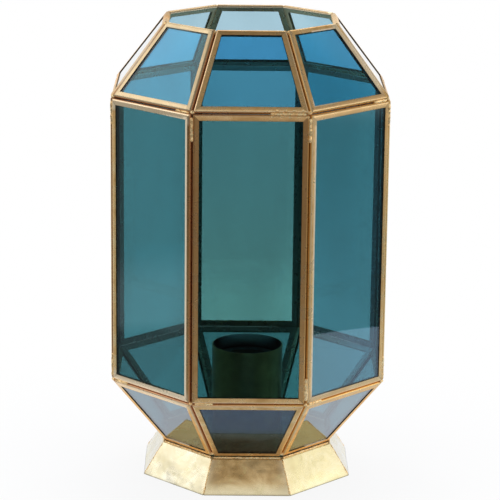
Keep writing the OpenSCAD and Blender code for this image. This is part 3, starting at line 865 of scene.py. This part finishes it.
along = (ring - side * size["Steps"] - 1) / (size["Steps"] - 2) * (1 - 2 * mitre) + mitre
share = along.math("MAXIMUM", 0.0).math("MINIMUM", 1.0)
outline_here = {label: size[label] for label in outline}


def on_outline(inset_here):
    """The place of a point of the channel, from its inset and its share of the way along its side."""
    start, stop = (
        wire(channel_tree, "GeometryNodeGroup", {**outline_here, "Corner": number, "Inset": inset_here},
             node_tree=corner_tree) for number in (side, side + 1))
    way = wire(channel_tree, "ShaderNodeVectorMath", {0: stop, 1: start}, operation="SUBTRACT")
    return wire(channel_tree, "ShaderNodeVectorMath", {0: start, 1: scaled(channel_tree, way, share)})


in_out, up_down = face_noise(channel_tree, on_outline(inset), size["Seed"], 45.0)
across, up, _ = parts_of(channel_tree, on_outline(inset + in_out * size["Unevenness"] / 2))
uneven = vector(channel_tree, across, up, depth + (up_down - 0.4) * size["Unevenness"])
placed = wire(channel_tree, "GeometryNodeSetPosition", {"Geometry": grid, "Position": uneven})
on_low, on_right, at_top, on_left = (abs(side - number).math("LESS_THAN", 0.5) for number in range(4))
in_groove = 1 - at_top * size["Free top"]
groove = (1 - inset.ranged(0.0, 1.0, 0.0, 1.0) / size["Front bend"]) * in_groove
marked = carry(channel_tree, placed, {
    "groove": groove.math("MAXIMUM", 0.0), "deep": (middle - depth) / size["Depth"],
    "lip": inset / size["Flange width"], "mitre": (share * (1 - share)).math("LESS_THAN", 0.0001),
    "tone": on_right * size["Tone right"] + on_left * size["Tone left"] + at_top * size["Tone top"]
    + on_low * size["Tone low"]})
closed = wire(channel_tree, "GeometryNodeMergeByDistance", {"Geometry": marked, "Distance": 0.000002})
finish_tree(channel_tree, end, closed, size["Brass"])


def aged_brass_with_painted_light():
    material, tree = new_material("aged_channel_brass_with_painted_light")
    broad, streak = cloud(tree, 120.0, 4.0, 0.6), cloud(tree, 800.0, 3.0, 0.55)
    rightward, rearward, rise = place_in(tree)
    sideward = abs(rightward)
    groove, deep, lip = mark(tree, "groove"), mark(tree, "deep"), mark(tree, "lip")
    corner_x, far_edge_x, hip_lean, roof_lean = body_side / 2, 0.0752, 0.307, 0.742
    past_corner, at_shoulder, under_eaves = (0.0334, 0.0342), (0.052, 0.056, 0.066, 0.070), (0.221, 0.223)
    is_roof = rise.ranged(0.228, eaves_h, 0.0, 1.0)

    # The face: clouded and speckled gold, with brown painted shade where the channel is toned, and painted
    # highlights on the lips beside the front pane
    beside = band(sideward, *past_corner, 0.045, 0.05)
    bright_lip = lip.ranged(0.72, 0.88, 0.0, 1.0) * beside
    front_lip = (lip.ranged(0.50, 0.66, 0.0, 1.0) * band(sideward, *past_corner, 0.037, 0.038)
                 * band(rise, 0.062, 0.064, 0.228, eaves_h) * rightward.ranged(-0.01, 0.01, 1.0, 0.45))
    clean = ramp(tree, broad, (0.30, 0.74, 0.43, 0.16), (0.50, 0.96, 0.61, 0.26), (0.72, 1.0, 0.73, 0.39))
    speckled = blend(tree, Flow(tree, streak).ranged(0.54, 0.74, 0.0, 0.15), clean, (0.50, 0.26, 0.09))
    # Painted shade: the toned flanges are painted brown, more so higher up and less on the bright lips
    tone = mark(tree, "tone") * rise.ranged(0.07, 0.17, 0.5, 1.0) * (1 - bright_lip * 0.9)
    painted_shade_brown = blend(tree, tone, speckled, (0.36, 0.185, 0.07))

    # Painted light and shade by the place on the lamp: painted highlights on the lips and on the rounded
    # bends, where they also stand for wear, on the roof's left, the front lips, the roof's far edge and the
    # rings' left ends; painted shade along the roof's hip, on the rear rim and at the rings' right ends
    # Where the brown painted shade lies, the bends get no painted highlight
    outside_painted_shade = (1 - mark(tree, "tone") * 1.3).math("MAXIMUM", 0.0)
    past_hip = rightward * -1 - corner_x + (rise - eaves_h) * hip_lean
    left_roof = past_hip.ranged(-0.0003, 0.0003, 0.0, 0.85) * is_roof * rearward.ranged(-0.01, 0.0, 1.0, 0.0)
    far_edge = (rightward - far_edge_x + (rise - eaves_h) * roof_lean).ranged(0.0, 0.0006, 0.0, 0.7)
    left_rings = band(rise, *under_eaves, 0.228, eaves_h).math("MAXIMUM", band(rise, *at_shoulder))
    painted_light_and_wear = painted_shade_brown
    for share, tint in (
            (bright_lip * 0.7, (1.0, 0.84, 0.64)),
            (groove.ranged(0.12, 0.30, 0.0, 0.6) * outside_painted_shade, (1.0, 0.80, 0.52)),
            (left_roof, (0.72, 0.58, 0.37)),
            (past_hip.ranged(0.0030, 0.0036, 0.55, 0.0) * left_roof, (0.36, 0.27, 0.15)),
            (front_lip * 0.9, (1.0, 0.86, 0.64)),
            (rearward.ranged(0.0, 0.01, 0.0, 0.8) * rise.ranged(0.262, 0.266, 0.0, 1.0), (0.50, 0.39, 0.24)),
            (far_edge * rise.ranged(0.231, 0.233, 0.0, 1.0), (1.0, 0.88, 0.64)),
            (left_rings * rightward.ranged(-0.036, -corner_x, 0.85, 0.0), (1.0, 0.82, 0.57)),
            (rightward.ranged(corner_x, 0.036, 0.0, 0.8) * band(rise, *under_eaves, 0.233, 0.236),
             (0.60, 0.40, 0.19)),
            (rightward.ranged(corner_x, 0.036, 0.0, 0.6) * band(rise, *at_shoulder), (0.68, 0.49, 0.27))):
        painted_light_and_wear = blend(tree, share, painted_light_and_wear, tint)

    # The walls down in the grooves, with painted light and shade on their patina; the flange inside the
    # lantern; a painted contact shadow along the raw edge next to the glass; and the mitres
    # Brown patina on the groove walls, painted darker deeper down as painted shade, browner on the left and
    # more golden on the right as painted light, and pale on the roof's far sides as a painted highlight
    brown_wall = ramp(tree, deep, (0.2, 0.76, 0.35, 0.13), (0.55, 0.52, 0.19, 0.07), (0.85, 0.20, 0.05, 0.02))
    gold_wall = ramp(tree, deep, (0.2, 0.95, 0.60, 0.17), (0.55, 0.84, 0.46, 0.10), (0.85, 0.36, 0.16, 0.035))
    near_wall = blend(tree, rightward.ranged(-0.03, 0.03, 0.0, 1.0), brown_wall, gold_wall)
    far_side = sideward.ranged(0.052, 0.058, 0.0, 0.6) * rise.ranged(0.232, 0.238, 0.0, 1.0)
    wall = blend(tree, far_side, near_wall, (0.95, 0.88, 0.78))
    toned = blend(tree, groove.ranged(0.42, 0.90, 0.0, 1.0), painted_light_and_wear, wall)
    # A dull patina inside the lantern, painted lighter and greyer to the right and lighter toward the top:
    # painted light
    low_patina_and_painted_light = blend(tree, rightward.ranged(0.055, 0.065, 0.0, 1.0), (0.38, 0.33, 0.26), (0.52, 0.52, 0.52))
    patina_and_painted_light = blend(tree, rise.ranged(0.205, 0.225, 0.0, 1.0), low_patina_and_painted_light, (0.66, 0.58, 0.42))
    inner = blend(tree, deep.ranged(0.86, 0.93, 0.0, 1.0), toned, patina_and_painted_light)
    # Painted contact shadow: a dark line along the lip where the flange meets the glass, but for the bright
    # lips
    painted_edge_shadow = blend(tree, lip.ranged(0.95, 1.0, 0.0, 0.9) * (1 - beside), inner, (0.06, 0.035, 0.015))
    jointed = blend(tree, mark(tree, "mitre") * 0.5, painted_edge_shadow, (0.12, 0.06, 0.03))
    # Painted highlight: the bright lips are made less metallic, so that they show pale
    painted_lip_highlight = (bright_lip * 0.5).math("MAXIMUM", front_lip * 0.74)
    return surfaced(material, {
        "Base Color": jointed, "Metallic": 0.74 - painted_lip_highlight, "Specular Tint": (1.0, 0.76, 0.50, 1),
        "Roughness": Flow(tree, broad).ranged(0.3, 0.7, 0.36, 0.22),
        "Normal": relief(tree, streak, 0.05, 0.0002)})


channel_finish = aged_brass_with_painted_light()
# How much brown painted shade each flange gets on each side: most round the front pane
tones = {
    "Tone left": {("body", 0): 0.8, ("body", 3): 0.4, ("body", 5): 0.3},
    "Tone right": {("body", 0): 0.85, ("body", 1): 0.3, ("body", 3): 0.3, ("body", 4): 0.4, ("body", 6): 0.2,
                   ("body", 7): 0.9},
    "Tone low": {("roof", 1): 0.3, ("roof", 7): 0.25},
    "Tone top": {("body", 0): 0.42, ("roof", 0): 0.25, ("roof", 3): 0.4, ("roof", 4): 0.6, ("roof", 5): 0.4},
}
for number, (name, tier) in enumerate(TIERS.items()):
    backs = {
        "Set-back low": joint_gap if name == "taper" else bent_set_back(level_fold),
        "Set-back side": bent_set_back(side_fold(tier)),
        "Set-back high": 0.0 if name == "roof" else bent_set_back(level_fold)}
    for k in range(8):
        tone_here = {label: tone_of.get((name, k), 0.0) for label, tone_of in tones.items()}
        channel = grow(f"{name}_channel_{k + 1}", channel_tree, {
            **backs, **tone_here, "Lower side": tier[0], "Upper side": tier[1], "Slant": tier_slant(tier),
            "Free top": float(name == "roof"), "Seed": 11.3 * number + 1.7 * k, "Brass": channel_finish},
            wall=channel_wall, edge=raw_edge)
        channel.data.transform(face_place(tier, k))
        facing_out(channel)
        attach(channel, "lamp")
        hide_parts(f"{name}_frame_{k + 1}")


# ------------------------------------------------------------------------------------ Solder
# The channels are joined by hand with brass-coloured solder: short lumpy beads at the ends of the
# grooves, a blob at every corner of the rings, and a ragged seam down each corner of the foot.
solder_tree, size, end = new_tree("solder beads", {
    "Step": 0.0006, "Raggedness": 0.28, "Lump": 0.0006, "Solder": None}, takes_mesh=True)
girth = Flow(solder_tree, wire(
    solder_tree, "GeometryNodeInputNamedAttribute", {"Name": "girth"}, data_type="FLOAT"))
paths = wire(solder_tree, "GeometryNodeMeshToCurve", {0: size["Geometry"]})
walked = wire(solder_tree, "GeometryNodeResampleCurve", {0: paths, "Length": size["Step"]}, mode="LENGTH")
where = wire(solder_tree, "GeometryNodeInputPosition")
_, swell = face_noise(solder_tree, where, 2.0, 520.0, 2.0)
factor = Flow(solder_tree, wire(solder_tree, "GeometryNodeSplineParameter").outputs["Factor"])
length = Flow(solder_tree, wire(solder_tree, "GeometryNodeSplineLength").outputs["Length"])
from_end = factor.math("MINIMUM", 1 - factor) * length / girth
left = 1 - from_end.math("MINIMUM", 1.0)
capsule = (1 - left * left).math("MAXIMUM", 0.0).math("SQRT")
swollen = capsule * girth * (swell * size["Raggedness"] * 4 + 1).math("MAXIMUM", 0.25)
circle = wire(solder_tree, "GeometryNodeCurvePrimitiveCircle", {"Resolution": 10, "Radius": 1.0},
              mode="RADIUS")
beads = wire(solder_tree, "GeometryNodeCurveToMesh", {
    "Curve": walked, "Profile Curve": circle, "Scale": swollen, "Fill Caps": True})
merged = wire(solder_tree, "GeometryNodeMergeByDistance", {"Geometry": beads, "Distance": 0.00002})
bumpy, _ = face_noise(solder_tree, where, 9.0, 900.0, 1.0)
pushed = scaled(solder_tree, wire(solder_tree, "GeometryNodeInputNormal"), bumpy * size["Lump"])
lumpy = wire(solder_tree, "GeometryNodeSetPosition", {"Geometry": merged, "Offset": pushed})
finish_tree(solder_tree, end, lumpy, size["Solder"])


def edge_point(tier, k, along, deep):
    """A point on the edge between faces k and k + 1 of a tier: along it from below, deep under its corner."""
    run, rise = (tier[0] - tier[1]) * radius_per_side, tier[3]
    long = math.hypot(run, rise)
    out = tier[0] * radius_per_side - run * along / long - deep * rise / long
    up = tier[2] + rise * along / long - deep * run / long
    return Matrix.Rotation(turn * (k + 0.5), 3, "Z") @ Vector((0, -out, up))


def level_point(ring_side, height, k, across, deep, fold_up):
    """A point in the level groove of a ring: across its face, deep under its edge."""
    out = ring_side * apothem_per_side - deep * math.cos(fold_up)
    return Matrix.Rotation(turn * k, 3, "Z") @ Vector((across, -out, height - deep * math.sin(fold_up)))


bead_len, level_len, blob_len, clear = 0.014, 0.0112, 0.0024, 0.0024
upright_deep, level_deep, blob_deep, seam_deep, seam_top = 0.0013, 0.0014, 0.0017, 0.0004, 0.0215
bead_r, slim_bead_r, level_r, slim_level_r, blob_r, seam_r = 0.0011, 0.0009, 0.0010, 0.0007, 0.0014, 0.0006
front, front_left = 0, 7
points, lines, girths = [], [], []


def bead(start, stop, girth):
    lines.append((len(points), len(points) + 1))
    points.extend((start, stop))
    girths.extend((girth, girth))


body, roof, taper = TIERS["body"], TIERS["roof"], TIERS["taper"]
# How far up a tier's corner each blob sits
corner_blobs = ((roof, 0.0014), (roof, tier_slant(roof) * 1.03 - 0.0012), (taper, 0.0016),
                (taper, tier_slant(taper) * 1.02))
for k in range(8):
    if k != front_left:
        bead(edge_point(body, k, clear, upright_deep),
             edge_point(body, k, clear + bead_len, upright_deep), bead_r)
    bead(edge_point(body, k, body_h - clear - bead_len, upright_deep),
         edge_point(body, k, body_h - clear, upright_deep), slim_bead_r if k == front_left else bead_r)
    for height, fold_up, side in ((eaves_h, level_fold / 2, 1), (shoulder_h, -level_fold / 2, -1)):
        long = 1.8 * level_len if (k, side) == (front, 1) else level_len
        near = side * (body_side / 2 - clear)
        bead(level_point(body_side, height, k, near, level_deep, fold_up),
             level_point(body_side, height, k, near - side * long, level_deep, fold_up),
             slim_level_r if (k, side) == (front_left, 1) else level_r)
    for tier, along in corner_blobs:
        bead(edge_point(tier, k, along - blob_len / 2, blob_deep),
             edge_point(tier, k, along + blob_len / 2, blob_deep), blob_r)
    bead(edge_point(SKIRT, k, seam_r, seam_deep), edge_point(SKIRT, k, seam_top, seam_deep), seam_r)
    under_floor = foot_h - floor_t / 2
    bead(level_point(floor_side, under_floor, k, -floor_side / 2 + seam_r, -0.0002, 0.0),
         level_point(floor_side, under_floor, k, floor_side / 2 - seam_r, -0.0002, 0.0), seam_r)

# A rough smear of solder over both channels at the right of the front eaves
smear_from, smear_step, smear_len, smear_r, off_eaves = 0.0105, 0.0024, 0.0026, 0.00055, 0.0019
for number in range(9):
    tier, up = ((body, body_h - off_eaves), (roof, off_eaves))[number % 2]
    start = face_place(tier, front) @ Vector((smear_from + smear_step * number, up, -0.0001))
    bead(start, start + Vector((smear_len, 0.0, 0.0002 * (number % 3 - 1))), smear_r)

bead_lines = bpy.data.meshes.new("bead_lines")
bead_lines.from_pydata(points, lines, [])
bead_lines.attributes.new("girth", "FLOAT", "POINT").data.foreach_set("value", girths)


def brass_solder():
    material, tree = new_material("brass_coloured_solder")
    colour = ramp(tree, cloud(tree, 500.0, 4.0), (0.30, 0.95, 0.58, 0.24), (0.5, 1.0, 0.71, 0.35),
                  (0.72, 1.0, 0.82, 0.48))
    return surfaced(material, {
        "Base Color": colour, "Metallic": 0.65, "Specular Tint": (1.0, 0.84, 0.64, 1),
        "Roughness": gloss(tree, 900.0, 0.18, 0.36),
        "Normal": relief(tree, cloud(tree, 1400.0, 2.0), 0.08, 0.0002)})


solder = facing_out(grow("solder", solder_tree, {"Solder": brass_solder()}, bead_lines))
# No lump stands out past the box of the solids
box_margin = 0.00005
for vertex in solder.data.vertices:
    for axis, (low, high) in enumerate(zip(*cad_box)):
        vertex.co[axis] = min(max(vertex.co[axis], low + box_margin), high - box_margin)
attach(solder, "lamp")
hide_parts("solder_beads")
